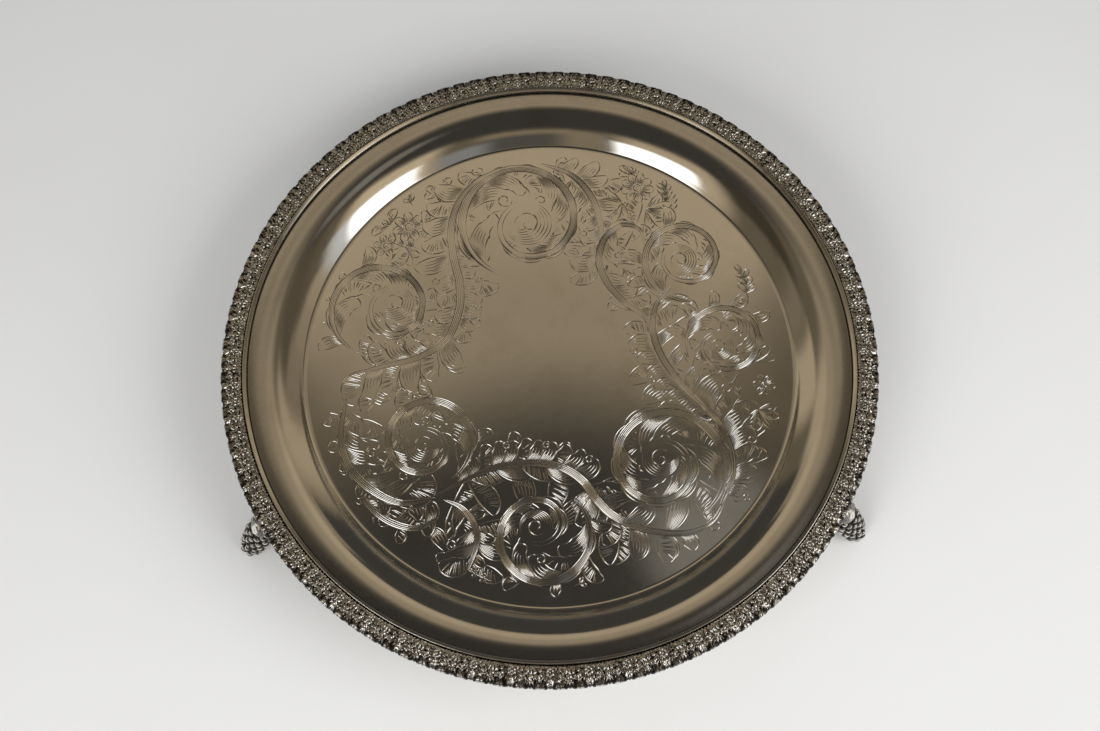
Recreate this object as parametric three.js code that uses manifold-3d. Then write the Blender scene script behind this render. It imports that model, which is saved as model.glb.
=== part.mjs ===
// A round silver salver on three cast feet. Units are millimetres and +Z is up.
//
// The origin is the centre of the well, on its upper face. The salver is a raised sheet plate,
// a drawn wire soldered round its rim, a cast border in two half circles, and three feet, each
// made of a solder seat, a vine-leaf bracket and a bunch of grapes.

import * as THREE from 'three';
import { mergeVertices } from 'three/addons/utils/BufferGeometryUtils.js';
import Module from 'manifold-3d';

const wasm = await Module();
wasm.setup();

// ---- driving dimensions ----

const GAP = 0.3; // clearance between pieces that touch on the real salver

const SHEET = 1.2; // thickness of the plate
const WELL_RADIUS = 116.8;
const WELL_SLOPE = 52; // degrees, steepness of the bouge where it leaves the well
const RIM_START_RADIUS = 139.5; // where the bouge has become the flat rim
const RIM_HEIGHT = 11.7; // rim's upper face above the well
const PLATE_RADIUS = 149;

const WIRE_INNER_RADIUS = 140.8;
const WIRE_WIDTH = 1.7;
const WIRE_TOP = 14.6;

const OUTER_RADIUS = 152.4; // 12 inches across the crests of the border
const BORDER_WIDTH = 9.6;
const BORDER_CREST_RADIUS = 146.2;
const BORDER_CREST_HEIGHT = 15.2;
const BORDER_EDGE_HEIGHT = 13.4; // top of its outer edge
const BORDER_INNER_HEIGHT = 13.9; // top of its inner edge
const BORDER_LIP_HEIGHT = 10.4; // lowest edge of the lip that covers the plate's edge
const LOBE_COUNT = 112;
const LOBE_DEPTH = 0.9; // from crest to notch of the scalloped edge
const SEAM_ANGLE = 109.6; // degrees, where one of the two butt joints lies

const FOOT_ANGLES = { back: 90, front_left: 210, front_right: -30 };
const GROUND_HEIGHT = -20.4;
const SEAT_INNER_RADIUS = 139.8;
const SEAT_OUTER_RADIUS = 148.4;
const SEAT_HALF_ANGLE = 3.6;
const SEAT_THICKNESS = 1.5;
const LEAF_THICKNESS = 1.5;
const LEAF_LENGTH = 26;
const LEAF_WIDTH = 18;
const LEAF_TIP_RADIUS = 162.5;
const LEAF_TIP_HEIGHT = -1.5;
const BUNCH_TOP_RADIUS = 146; // where the bunch's axis starts, under the leaf
const BUNCH_TOP_HEIGHT = 5;
const BUNCH_TIP_RADIUS = 163;
const BUNCH_TIP_HEIGHT = -18.4;
const BUNCH_HALF_WIDTH = 5.6; // to the centres of the grapes, along the rim
const BUNCH_HALF_DEPTH = 4.4; // to the centres of the grapes, the other way
const BUNCH_ROWS = 4;
const GRAPE_RADIUS = 2.8;

const PLATE_SEGMENTS = 96;
const BOUGE_STEPS = 7;
const LEAF_STEPS = 10;

// ---- materials ----

const plateSilver = new THREE.MeshStandardMaterial({ color: 0xa79f8a, roughness: 0.16, metalness: 1 });
const wireSilver = new THREE.MeshStandardMaterial({ color: 0xb4ac98, roughness: 0.2, metalness: 1 });
const borderSilver = new THREE.MeshStandardMaterial({ color: 0x8b8474, roughness: 0.34, metalness: 1 });
const footSilver = new THREE.MeshStandardMaterial({ color: 0x958e7c, roughness: 0.34, metalness: 1 });
const solderSilver = new THREE.MeshStandardMaterial({ color: 0x7d776a, roughness: 0.5, metalness: 1 });

// ---- helpers ----

const radians = THREE.MathUtils.degToRad;

function point(radius, height) {
  return new THREE.Vector2(radius, height);
}

// Turns a profile of (radius, height) points round the Z axis.
function turned(profile, segments) {
  return new THREE.LatheGeometry(profile, segments).rotateX(Math.PI / 2);
}

// Extrudes a profile drawn in (radius, height) along Y, centred on y = 0.
function sideExtrusion(shape, width) {
  const geometry = new THREE.ExtrudeGeometry(shape, { depth: width, bevelEnabled: false, curveSegments: 12 });
  return geometry.rotateX(Math.PI / 2).translate(0, width / 2, 0);
}

// Extrudes a plan outline upwards from bottom to top.
function planExtrusion(shape, bottom, top, curveSegments) {
  const geometry = new THREE.ExtrudeGeometry(shape, { depth: top - bottom, bevelEnabled: false, curveSegments });
  return geometry.translate(0, 0, bottom);
}

function toSolid(geometry) {
  const bare = geometry.clone();
  bare.deleteAttribute('normal');
  bare.deleteAttribute('uv');
  const merged = mergeVertices(bare, 1e-4);
  const corners = merged.index.array;
  const triVerts = [];
  for (let i = 0; i < corners.length; i += 3) {
    const [a, b, c] = [corners[i], corners[i + 1], corners[i + 2]];
    if (a !== b && b !== c && c !== a) triVerts.push(a, b, c);
  }
  return new wasm.Manifold(new wasm.Mesh({
    numProp: 3,
    vertProperties: merged.attributes.position.array,
    triVerts: new Uint32Array(triVerts),
  }));
}

function toGeometry(solid) {
  const { vertProperties, triVerts } = solid.getMesh();
  const geometry = new THREE.BufferGeometry();
  geometry.setAttribute('position', new THREE.BufferAttribute(vertProperties, 3));
  geometry.setIndex(new THREE.BufferAttribute(triVerts, 1));
  return geometry.toNonIndexed();
}

function named(name, geometry, material) {
  geometry.computeVertexNormals();
  const mesh = new THREE.Mesh(geometry, material);
  mesh.name = name;
  return mesh;
}

// ---- plate ----

// The bouge rises from the well in one curve that flattens out into the rim.
function bougeCurve() {
  const bend = WELL_RADIUS + RIM_HEIGHT / Math.tan(radians(WELL_SLOPE));
  return new THREE.QuadraticBezierCurve(
    point(WELL_RADIUS, 0),
    point(bend, RIM_HEIGHT),
    point(RIM_START_RADIUS, RIM_HEIGHT),
  );
}

function plate() {
  const curve = bougeCurve();
  const upper = [];
  const lower = [];
  for (let i = 0; i <= BOUGE_STEPS; i += 1) {
    const t = i / BOUGE_STEPS;
    const along = curve.getTangent(t);
    const surface = curve.getPoint(t);
    upper.push(surface);
    lower.push(point(surface.x + along.y * SHEET, surface.y - along.x * SHEET));
  }
  const profile = [
    point(0, -SHEET),
    point(WELL_RADIUS, -SHEET),
    ...lower,
    point(PLATE_RADIUS, RIM_HEIGHT - SHEET),
    point(PLATE_RADIUS, RIM_HEIGHT),
    ...upper.reverse(),
    point(0, 0),
  ];
  return named('plate', turned(profile, PLATE_SEGMENTS), plateSilver);
}

// ---- rim wire ----

function rimWire() {
  const base = RIM_HEIGHT + GAP;
  const round = WIRE_WIDTH / 2;
  const section = new THREE.Path();
  section.moveTo(WIRE_INNER_RADIUS, base);
  section.lineTo(WIRE_INNER_RADIUS + WIRE_WIDTH, base);
  section.absarc(WIRE_INNER_RADIUS + round, WIRE_TOP - round, round, 0, Math.PI, false);
  section.lineTo(WIRE_INNER_RADIUS, base);
  return named('rim_wire', turned(section.getPoints(3), PLATE_SEGMENTS), wireSilver);
}

// ---- border ----

const borderInnerRadius = OUTER_RADIUS - BORDER_WIDTH;

// The border's domed section, whose outer lip comes down over the plate's edge.
function borderRing() {
  const base = RIM_HEIGHT + GAP;
  const reach = OUTER_RADIUS + LOBE_DEPTH;
  const profile = [
    point(borderInnerRadius, base),
    point(PLATE_RADIUS + GAP, base),
    point(PLATE_RADIUS + GAP, BORDER_LIP_HEIGHT),
    point(reach, BORDER_LIP_HEIGHT),
    point(reach, BORDER_EDGE_HEIGHT),
    point((OUTER_RADIUS + BORDER_CREST_RADIUS) / 2, BORDER_CREST_HEIGHT - 0.4),
    point(BORDER_CREST_RADIUS, BORDER_CREST_HEIGHT),
    point(borderInnerRadius, BORDER_INNER_HEIGHT),
    point(borderInnerRadius, base),
  ];
  return toSolid(turned(profile, LOBE_COUNT));
}

// One half circle of the border seen from above, with its lobes along the outer edge.
function halfBorderOutline() {
  const lobe = (2 * Math.PI) / LOBE_COUNT;
  const notch = OUTER_RADIUS - LOBE_DEPTH;
  const halfGap = GAP / 2 / OUTER_RADIUS;
  const outline = new THREE.Shape();
  const corner = (radius, angle) => [radius * Math.cos(angle), radius * Math.sin(angle)];
  outline.moveTo(...corner(notch, halfGap));
  for (let i = 0; i < LOBE_COUNT / 2; i += 1) {
    const end = Math.min((i + 1) * lobe, Math.PI - halfGap);
    outline.quadraticCurveTo(...corner(OUTER_RADIUS + LOBE_DEPTH, (i + 0.5) * lobe), ...corner(notch, end));
  }
  outline.lineTo(...corner(borderInnerRadius - 2, Math.PI - halfGap));
  outline.absarc(0, 0, borderInnerRadius - 2, Math.PI - halfGap, halfGap, true);
  return outline;
}

function borderHalf(name, startAngle) {
  const stencil = toSolid(planExtrusion(halfBorderOutline(), BORDER_LIP_HEIGHT - 1, BORDER_CREST_HEIGHT + 1, 4));
  const half = named(name, toGeometry(borderRing().intersect(stencil)), borderSilver);
  half.rotation.z = radians(startAngle);
  return half;
}

// ---- feet, each drawn on the +X side of the salver and then turned into place ----

const seatTop = RIM_HEIGHT - SHEET - GAP;
const leafTop = seatTop - SEAT_THICKNESS - GAP;

function solderSeat(name) {
  const half = radians(SEAT_HALF_ANGLE);
  const outline = new THREE.Shape();
  outline.absarc(0, 0, SEAT_OUTER_RADIUS, -half, half, false);
  outline.absarc(0, 0, SEAT_INNER_RADIUS, half, -half, true);
  return named(name, planExtrusion(outline, seatTop - SEAT_THICKNESS, seatTop, 6), solderSilver);
}

// The leaf's upper face seen from the side, or a line that lies deeper by an offset: level under
// the seat, then drooping over the grapes.
function leafLine(offset) {
  const curve = new THREE.QuadraticBezierCurve(
    point(SEAT_INNER_RADIUS - 2, leafTop),
    point(LEAF_TIP_RADIUS - 5, leafTop),
    point(LEAF_TIP_RADIUS, LEAF_TIP_HEIGHT),
  );
  const line = [];
  for (let i = 0; i <= LEAF_STEPS; i += 1) {
    const along = curve.getTangent(i / LEAF_STEPS);
    const surface = curve.getPoint(i / LEAF_STEPS);
    line.push(point(surface.x + along.y * offset, surface.y - along.x * offset));
  }
  return line;
}

// The bent band that the leaf is cut from.
function leafBand() {
  const shape = new THREE.Shape([...leafLine(0), ...leafLine(LEAF_THICKNESS).reverse()]);
  return toSolid(sideExtrusion(shape, 2 * LEAF_WIDTH));
}

// All the room from just under the leaf upwards, which the grapes leave free.
function roomAboveGrapes() {
  const underside = leafLine(LEAF_THICKNESS + GAP);
  const reach = LEAF_TIP_RADIUS + GAP;
  const shape = new THREE.Shape([
    point(underside[0].x, BORDER_CREST_HEIGHT),
    point(reach, BORDER_CREST_HEIGHT),
    point(reach, underside.at(-1).y - GAP),
    ...underside.reverse(),
  ]);
  return toSolid(sideExtrusion(shape, 2 * LEAF_WIDTH));
}

// A vine leaf seen from above: a broad base, two side lobes each way and a pointed tip.
function leafOutline() {
  const base = LEAF_TIP_RADIUS - LEAF_LENGTH;
  const half = LEAF_WIDTH / 2;
  const side = [
    [0.0, 0.3],
    [0.16, 0.76],
    [0.28, 0.62],
    [0.48, 1.0],
    [0.58, 0.62],
    [0.76, 0.58],
    [0.84, 0.32],
  ];
  const outline = new THREE.Shape();
  outline.moveTo(base, -side[0][1] * half);
  for (const [along, across] of side.slice(1)) outline.lineTo(base + along * LEAF_LENGTH, -across * half);
  outline.lineTo(LEAF_TIP_RADIUS + 1, 0);
  for (const [along, across] of side.reverse()) outline.lineTo(base + along * LEAF_LENGTH, across * half);
  return outline;
}

function leafBracket(name) {
  const stencil = toSolid(planExtrusion(leafOutline(), LEAF_TIP_HEIGHT - 9, leafTop + 2, 4));
  return named(name, toGeometry(leafBand().intersect(stencil)), footSilver);
}

// The bunch's girth, as a share of its largest, from its top at 0 to its tip at 1.
function bunchGirth(t) {
  return Math.sqrt(1 - ((t - 0.48) / 0.62) ** 2);
}

function grape(centre) {
  return toSolid(new THREE.OctahedronGeometry(GRAPE_RADIUS, 1).translate(...centre));
}

function grapeBunch(name) {
  const top = new THREE.Vector3(BUNCH_TOP_RADIUS, 0, BUNCH_TOP_HEIGHT);
  const tip = new THREE.Vector3(BUNCH_TIP_RADIUS, 0, BUNCH_TIP_HEIGHT);
  const axis = tip.clone().sub(top);
  const across = new THREE.Vector3(0, 1, 0);
  const outward = across.clone().cross(axis).normalize();

  const down = new THREE.Vector3(0, 0, -1);
  const core = new THREE.IcosahedronGeometry(1, 1);
  core.scale(BUNCH_HALF_DEPTH, BUNCH_HALF_WIDTH, axis.length() / 2);
  core.applyQuaternion(new THREE.Quaternion().setFromUnitVectors(down, axis.clone().normalize()));
  core.translate(...top.clone().lerp(tip, 0.5));

  let bunch = toSolid(core);
  for (let row = 0; row < BUNCH_ROWS; row += 1) {
    const t = (row + 0.5) / BUNCH_ROWS;
    const girth = bunchGirth(t);
    const count = Math.round((2 * Math.PI * BUNCH_HALF_WIDTH * girth) / (2 * GRAPE_RADIUS));
    for (let i = 0; i < count; i += 1) {
      const turn = (2 * Math.PI * (i + (row % 2) / 2)) / count;
      const centre = top.clone().lerp(tip, t);
      centre.addScaledVector(outward, BUNCH_HALF_DEPTH * girth * Math.cos(turn));
      centre.addScaledVector(across, BUNCH_HALF_WIDTH * girth * Math.sin(turn));
      bunch = bunch.add(grape(centre));
    }
  }
  bunch = bunch.add(grape(tip));

  const ground = new THREE.BoxGeometry(80, 80, 20).translate(BUNCH_TIP_RADIUS, 0, GROUND_HEIGHT - 10);
  bunch = bunch.subtract(toSolid(ground)).subtract(roomAboveGrapes());
  return named(name, toGeometry(bunch), footSilver);
}

function foot(place, angle) {
  const group = new THREE.Group();
  group.rotation.z = radians(angle);
  group.add(solderSeat(`foot_${place}_solder_seat`));
  group.add(leafBracket(`foot_${place}_vine_leaf`));
  group.add(grapeBunch(`foot_${place}_grape_bunch`));
  return group;
}

// ---- the salver ----

const salver = new THREE.Group();
salver.add(plate(), rimWire());
salver.add(borderHalf('border_half_left', SEAM_ANGLE), borderHalf('border_half_right', SEAM_ANGLE + 180));
for (const [place, angle] of Object.entries(FOOT_ANGLES)) salver.add(foot(place, angle));

export default salver;
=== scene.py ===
"""A round silver salver: an engraved plate, a drawn wire, a cast border and three grape feet.

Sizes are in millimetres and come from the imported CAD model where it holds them. The origin is the
centre of the well, on its upper face, and +Z is up. Meshes are scaled to metres as they are made.
"""

import math
import random
from functools import partial, reduce

import bmesh
import bpy
import numpy as np
from mathutils import Matrix, Vector
from mathutils.geometry import delaunay_2d_cdt
from mathutils.kdtree import KDTree


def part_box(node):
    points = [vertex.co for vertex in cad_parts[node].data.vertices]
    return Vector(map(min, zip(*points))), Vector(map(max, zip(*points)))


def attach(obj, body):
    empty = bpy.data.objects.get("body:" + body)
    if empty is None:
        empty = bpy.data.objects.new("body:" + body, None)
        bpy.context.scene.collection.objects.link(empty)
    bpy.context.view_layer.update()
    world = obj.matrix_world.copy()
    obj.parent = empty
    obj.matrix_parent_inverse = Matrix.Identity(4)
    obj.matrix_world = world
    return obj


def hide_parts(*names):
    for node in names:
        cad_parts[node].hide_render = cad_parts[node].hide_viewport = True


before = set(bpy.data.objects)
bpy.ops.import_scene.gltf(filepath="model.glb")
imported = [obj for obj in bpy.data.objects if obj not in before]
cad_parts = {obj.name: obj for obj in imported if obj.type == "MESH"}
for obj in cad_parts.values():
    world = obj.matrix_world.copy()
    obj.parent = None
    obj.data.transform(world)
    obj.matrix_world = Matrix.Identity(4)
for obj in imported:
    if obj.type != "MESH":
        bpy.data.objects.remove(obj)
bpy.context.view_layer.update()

# ---- driving dimensions, from the CAD model ----

MM = 0.001


def corners_mm(node):
    """A CAD node's lowest and highest corner, in millimetres."""
    low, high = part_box(node)
    return np.array(low) / MM, np.array(high) / MM


def points_mm(node):
    """A CAD node's vertices, in millimetres."""
    return np.array([v.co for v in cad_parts[node].data.vertices]) / MM


def radii(points):
    return np.hypot(points[:, 0], points[:, 1])


def radii_at(points, height):
    """Distances from the Z axis of the points that lie at a height."""
    return radii(points[np.abs(points[:, 2] - height) < 0.01])


plate_low, plate_high = corners_mm("plate")
wire_low, wire_high = corners_mm("rim_wire")
border_low, border_high = corners_mm("border_half_left")
bunch_low, bunch_high = corners_mm("foot_back_grape_bunch")
leaf_low, leaf_high = corners_mm("foot_back_vine_leaf")
plate_points = points_mm("plate")
wire_radii = radii_at(points_mm("rim_wire"), wire_low[2])
border_radii = radii(points_mm("border_half_left"))

SHEET = -plate_low[2]
WELL_RADIUS = radii_at(plate_points, 0.0).max()
RIM_HEIGHT = plate_high[2]
RIM_START_RADIUS = radii_at(plate_points, RIM_HEIGHT).min()
PLATE_RADIUS = plate_high[0]
WIRE_INNER_RADIUS = wire_radii.min()
WIRE_OUTER_RADIUS = wire_radii.max()
BORDER_INNER_RADIUS = border_radii.min()
OUTER_RADIUS = border_radii.max()
GROUND_HEIGHT = bunch_low[2]
FOOT_ANGLES = {"back": 90, "front_left": 210, "front_right": -30}

WELL_SLOPE = 52  # degrees, steepness of the bouge where it leaves the well
ROUND_SEGMENTS = 240


# ---- mesh helpers ----


def add_object(name, data):
    thing = bpy.data.objects.new(name, data)
    bpy.context.scene.collection.objects.link(thing)
    return thing


def make_piece(name, vertices, faces, material, sharp=None):
    """A smooth mesh from vertices in millimetres, crisp where it bends by more than sharp degrees."""
    mesh = bpy.data.meshes.new(name)
    mesh.from_pydata((np.asarray(vertices) * MM).tolist(), [], [list(map(int, f)) for f in faces])
    mesh.polygons.foreach_set("use_smooth", [True] * len(mesh.polygons))
    if sharp is not None:
        mesh.set_sharp_from_angle(angle=math.radians(sharp))
    mesh.materials.append(material)
    mesh.update()
    return add_object(name, mesh)


def store_tarnish_and_shade(mesh, values):
    """Stores how dark each vertex is, from 0 to 1, for the material to darken: tarnish in recesses, and
    painted shade at the wire's joints and on the border's drooping edge.
    """
    tarnish_and_shade = mesh.attributes.new("tarnish_and_shade", "FLOAT", "POINT")
    tarnish_and_shade.data.foreach_set("value", np.asarray(values, np.float32))


def mesh_from(shape, name):
    """A mesh with the shape of a bmesh, which it frees."""
    mesh = bpy.data.meshes.new(name)
    shape.to_mesh(mesh)
    shape.free()
    return mesh


def grid_faces(rows, columns, wrap_rows=False, wrap_columns=False):
    """Quads over a grid whose vertices are numbered row by row."""
    a = np.arange(rows if wrap_rows else rows - 1)
    b = np.arange(columns if wrap_columns else columns - 1)
    i, j = np.meshgrid(a, b, indexing="ij")
    i2, j2 = (i + 1) % rows, (j + 1) % columns
    corners = [i * columns + j, i2 * columns + j, i2 * columns + j2, i * columns + j2]
    return np.stack(corners, -1).reshape(-1, 4)


def circle(count):
    """Angles evenly spaced round a circle."""
    return np.arange(count) * 2 * math.pi / count


def around(angles, radius, height):
    """Points at each angle for each (radius, height) of a profile: an angles by profile grid."""
    x = np.outer(np.cos(angles), radius)
    y = np.outer(np.sin(angles), radius)
    return np.stack([x, y, np.broadcast_to(height, x.shape)], -1)


def bezier(a, b, c, count):
    t = np.linspace(0, 1, count)[:, None]
    return (1 - t) ** 2 * np.array(a) + 2 * t * (1 - t) * np.array(b) + t * t * np.array(c)


def travelled_along(line):
    """The distance along a line to each of its points."""
    return np.concatenate([[0], np.cumsum(np.linalg.norm(np.diff(line, axis=0), axis=1))])


def smooth_line(points, spacing):
    """A Catmull-Rom curve through the points, with its own points evenly spaced."""
    points = np.asarray(points, float)
    padded = np.vstack([2 * points[0] - points[1], points, 2 * points[-1] - points[-2]])
    f = np.linspace(0, 1, 16, endpoint=False)[:, None]
    dense = []
    for i in range(len(points) - 1):
        p0, p1, p2, p3 = padded[i:i + 4]
        dense.append(0.5 * (2 * p1 + (p2 - p0) * f + (2 * p0 - 5 * p1 + 4 * p2 - p3) * f ** 2
                            + (3 * p1 - p0 - 3 * p2 + p3) * f ** 3))
    line = np.vstack([*dense, points[-1:]])
    travelled = travelled_along(line)
    even = np.linspace(0, travelled[-1], max(3, int(travelled[-1] / spacing) + 1))
    return np.stack([np.interp(even, travelled, line[:, k]) for k in range(line.shape[1])], -1)


def left_normals(points):
    along = np.gradient(points, axis=0)
    along /= np.maximum(np.linalg.norm(along, axis=1, keepdims=True), 1e-9)
    return np.stack([-along[:, 1], along[:, 0]], -1)


def beside(points, distance):
    """The same line moved to its left by a distance, which may vary along it."""
    return points + left_normals(points) * np.reshape(distance, (-1, 1))


def tree_of(places):
    """A tree that finds the places nearest to a point."""
    tree = KDTree(len(places))
    for i, place in enumerate(places):
        tree.insert(place, i)
    tree.balance()
    return tree


# ---- engraving: every cut is (points, half width), in millimetres on the well ----

CUT_STEP = 0.6
CUT_TOLERANCE = 0.03  # how far a cut may stray from its curve where its points are thinned out
OUTLINE = 0.33  # half width of the cuts that draw an outline
HATCH = 0.23  # half width of the cuts that shade it
HATCH_PITCH = 0.84
LEAF_RADIUS = 111.5  # leaves stay inside this circle, and outside the clear one in the middle
CLEAR_RADIUS = 38
EDGE_CLEARANCE = 0.7  # between the cuts and the edge of the flat
LEAST_LEAF = 5  # shorter leaves are kept as they are
LEAST_POINTS = 4  # a cut broken to fewer points is left out


def thinned(points, tolerance):
    """The fewest of a line's points that keep it within the tolerance of itself."""
    keep = {0, len(points) // 4, len(points) // 2, 3 * len(points) // 4, len(points) - 1}
    spans = list(zip(sorted(keep)[:-1], sorted(keep)[1:]))
    while spans:
        a, b = spans.pop()
        if b - a < 2:
            continue
        chord = points[b] - points[a]
        offset = points[a + 1:b] - points[a]
        stray = np.abs(chord[0] * offset[:, 1] - chord[1] * offset[:, 0]) / max(np.hypot(*chord), 1e-6)
        worst = int(np.argmax(stray))
        if stray[worst] > tolerance:
            middle = a + 1 + worst
            keep.add(middle)
            spans += [(a, middle), (middle, b)]
    return points[sorted(keep)]


def inside_outline(points, outline):
    """Which of the points lie inside a closed outline."""
    a, b = outline, np.roll(outline, -1, axis=0)
    x, y = points[:, :1], points[:, 1:]
    rising = (a[:, 1] > y) != (b[:, 1] > y)
    height = np.where(np.abs(b[:, 1] - a[:, 1]) < 1e-9, 1e-9, b[:, 1] - a[:, 1])
    crossing = a[:, 0] + (y - a[:, 1]) / height * (b[:, 0] - a[:, 0])
    return (rising & (x < crossing)).sum(1) % 2 == 1


class Engraving:
    """Collects the engraver's cuts. What is engraved first stays in front of what comes later."""

    def __init__(self, seed):
        self.rng = random.Random(seed)
        self.cuts = []
        self.covers = []

    def cut(self, points, half_width):
        """Adds a cut, broken where something in front covers it."""
        points = np.asarray(points, float)
        low, high = points.min(0), points.max(0)
        shown = radii(points) < ENGRAVED_RADIUS - EDGE_CLEARANCE
        for outline, least, most in self.covers:
            if np.all(low < most) and np.all(high > least):
                shown &= ~inside_outline(points, outline)
        ends = np.flatnonzero(np.diff(np.concatenate([[0], shown.astype(int), [0]])))
        for first, last in zip(ends[::2], ends[1::2]):
            if last - first >= LEAST_POINTS:
                self.cuts.append((thinned(points[first:last], CUT_TOLERANCE), half_width))

    def cover(self, outline):
        """Hides what is engraved later inside this outline."""
        self.covers.append((outline, outline.min(0), outline.max(0)))

    def cover_disc(self, centre, radius):
        self.cover(spiral(centre, radius, radius, 0, 360))


def polar(centre, radius, angle):
    return np.stack([centre[0] + radius * np.cos(angle), centre[1] + radius * np.sin(angle)], -1)


def spiral(centre, outer, inner, start, sweep):
    """Points of a spiral that winds from the outer radius to the inner one. Angles in degrees."""
    length = math.radians(abs(sweep)) * (outer + inner) / 2
    t = np.linspace(0, 1, max(8, int(length / CUT_STEP)))
    return polar(centre, outer + (inner - outer) * t, np.radians(start + sweep * t))


def part(points, start, end):
    n = len(points)
    return points[int(start * (n - 1)):int(end * (n - 1)) + 1]


def spine(base, heading, length, bend):
    """A leaf's middle line, from base along heading. It turns by bend degrees, mostly near its tip."""
    n = max(9, int(length / CUT_STEP) + 1)
    t = np.linspace(0, 1, n)
    angle = np.radians(heading + bend * t ** 1.6)
    step = np.stack([np.cos(angle[:-1]), np.sin(angle[:-1])], -1) * length / (n - 1)
    return np.vstack([[base], np.asarray(base) + np.cumsum(step, axis=0)])


def hatch_along(e, mid, half, side, lines):
    """Shades a leaf with lines along it, which stop short of its tip on the outer side of its bend."""
    for k in range(lines):
        f = (2 * (k + 1) / (lines + 1) - 1) * 0.88
        start = 0.05 + 0.1 * e.rng.random()
        end = (0.9 if k % 2 else 0.68) - 0.18 * (0.5 + 0.5 * f * side) - 0.06 * e.rng.random()
        e.cut(part(beside(mid, f * half), start, end), HATCH)


def rake_across(e, mid, half, lines):
    """Shades a leaf with short strokes that lean back from one of its sides."""
    for k in range(lines):
        i = int((0.14 + 0.74 * k / lines) * (len(mid) - 1))
        j = max(i - 3, 0)
        outer = beside(mid, -half * 0.95)[i]
        inner = beside(mid, half * e.rng.uniform(0.0, 0.7))[j]
        sag = 0.12 * (mid[i] - mid[j])
        e.cut(bezier(outer, (outer + inner) / 2 + sag, inner, 8), HATCH)


def leaf(e, base, heading, length, bend, breadth, rake=False):
    """One lobe of acanthus: two outlines that meet in a rounded tip, and shading along it or across it."""
    mid = spine(base, heading, length, bend)
    reach = radii(mid)
    if length > LEAST_LEAF and (reach.max() > LEAF_RADIUS or reach.min() < CLEAR_RADIUS):
        leaf(e, base, heading, length * 0.8, bend, breadth * 0.9, rake)
        return
    half = breadth / 2 * np.sin(math.pi * np.linspace(0, 1, len(mid)) ** 1.25) ** 0.62
    left, right = beside(mid, half), beside(mid, -half)
    e.cut(left, OUTLINE)
    e.cut(right, OUTLINE)
    side = math.copysign(1, bend)
    if rake:
        rake_across(e, mid, side * half, int(length * 0.75 / HATCH_PITCH))
    else:
        hatch_along(e, mid, half, side, max(1, round(breadth / HATCH_PITCH) - 1))
    e.cover(np.vstack([left, right[::-1]]))


raked = partial(leaf, rake=True)


def hook(e, base, heading, length, bend, breadth):
    """A leaf that curls up in a small volute at its tip."""
    tip = spine(base, heading, length, bend)[-1]
    side = math.copysign(1, bend)
    angle = heading + bend
    eye = max(0.9, breadth * 0.26)
    centre = polar(tip, eye, math.radians(angle + 90 * side))
    e.cut(spiral(centre, eye, eye * 0.3, angle - 90 * side, 430 * side), OUTLINE)
    e.cover_disc(centre, eye)
    leaf(e, base, heading, length, bend, breadth)


def fan(e, base, heading, length, spread, count, breadth):
    """Lobes that spread from one root, the middle one in front."""
    for k in sorted(range(count), key=lambda k: abs(k - (count - 1) / 2)):
        f = 2 * k / (count - 1) - 1
        maker = (leaf, raked)[k % 2]
        maker(e, base, heading + f * spread / 2, length * (1 - 0.22 * abs(f)), (f or 0.2) * 60, breadth)


def frond(e, line, count, side, size, lean, bend, breadth, start, end, grow, makers=(leaf,)):
    """Lobes that spring from one side of a line between two shares of its length, and curl back.
    side is 1 for its left. lean is the angle of the lobes to the line, and bend how far they turn."""
    for k in reversed(range(count)):
        t = start + (end - start) * (k + 0.5) / count
        i = min(int(t * (len(line) - 1)), len(line) - 2)
        along = line[i + 1] - line[i]
        heading = math.degrees(math.atan2(along[1], along[0])) + side * lean
        length = size * (1 + grow * (t - 0.5)) * e.rng.uniform(0.9, 1.1)
        makers[k % len(makers)](e, line[i], heading, length, side * bend, length * breadth)


def crescent(e, centre, radius, start, sweep, drift):
    """Nested arcs, each smaller than the last, that shade the inside of a scroll."""
    for k in range(7):
        r = radius * (1 - 0.085 * (k + 1))
        c = (centre[0] + drift[0] * k, centre[1] + drift[1] * k)
        trim = 0.07 * k * sweep
        e.cut(spiral(c, r, r, start + trim / 2, sweep - trim), HATCH)


def band(e, line, width, shade):
    """A ribbon to the left of a line: two edges, a few lines along it, and nothing behind it."""
    width = np.broadcast_to(width, (len(line),))
    far = beside(line, width)
    e.cut(line, OUTLINE * 1.1)
    e.cut(far, OUTLINE * 1.1)
    lines = max(1, round(np.abs(width).max() / HATCH_PITCH) - 1)
    for k in range(lines):
        share = (k + 1) / (lines + 1)
        e.cut(part(beside(line, width * share), shade[0] + 0.04 * k, shade[1] - 0.06 * k), HATCH)
    e.cover(np.vstack([line, far[::-1]]))
    return far


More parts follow.
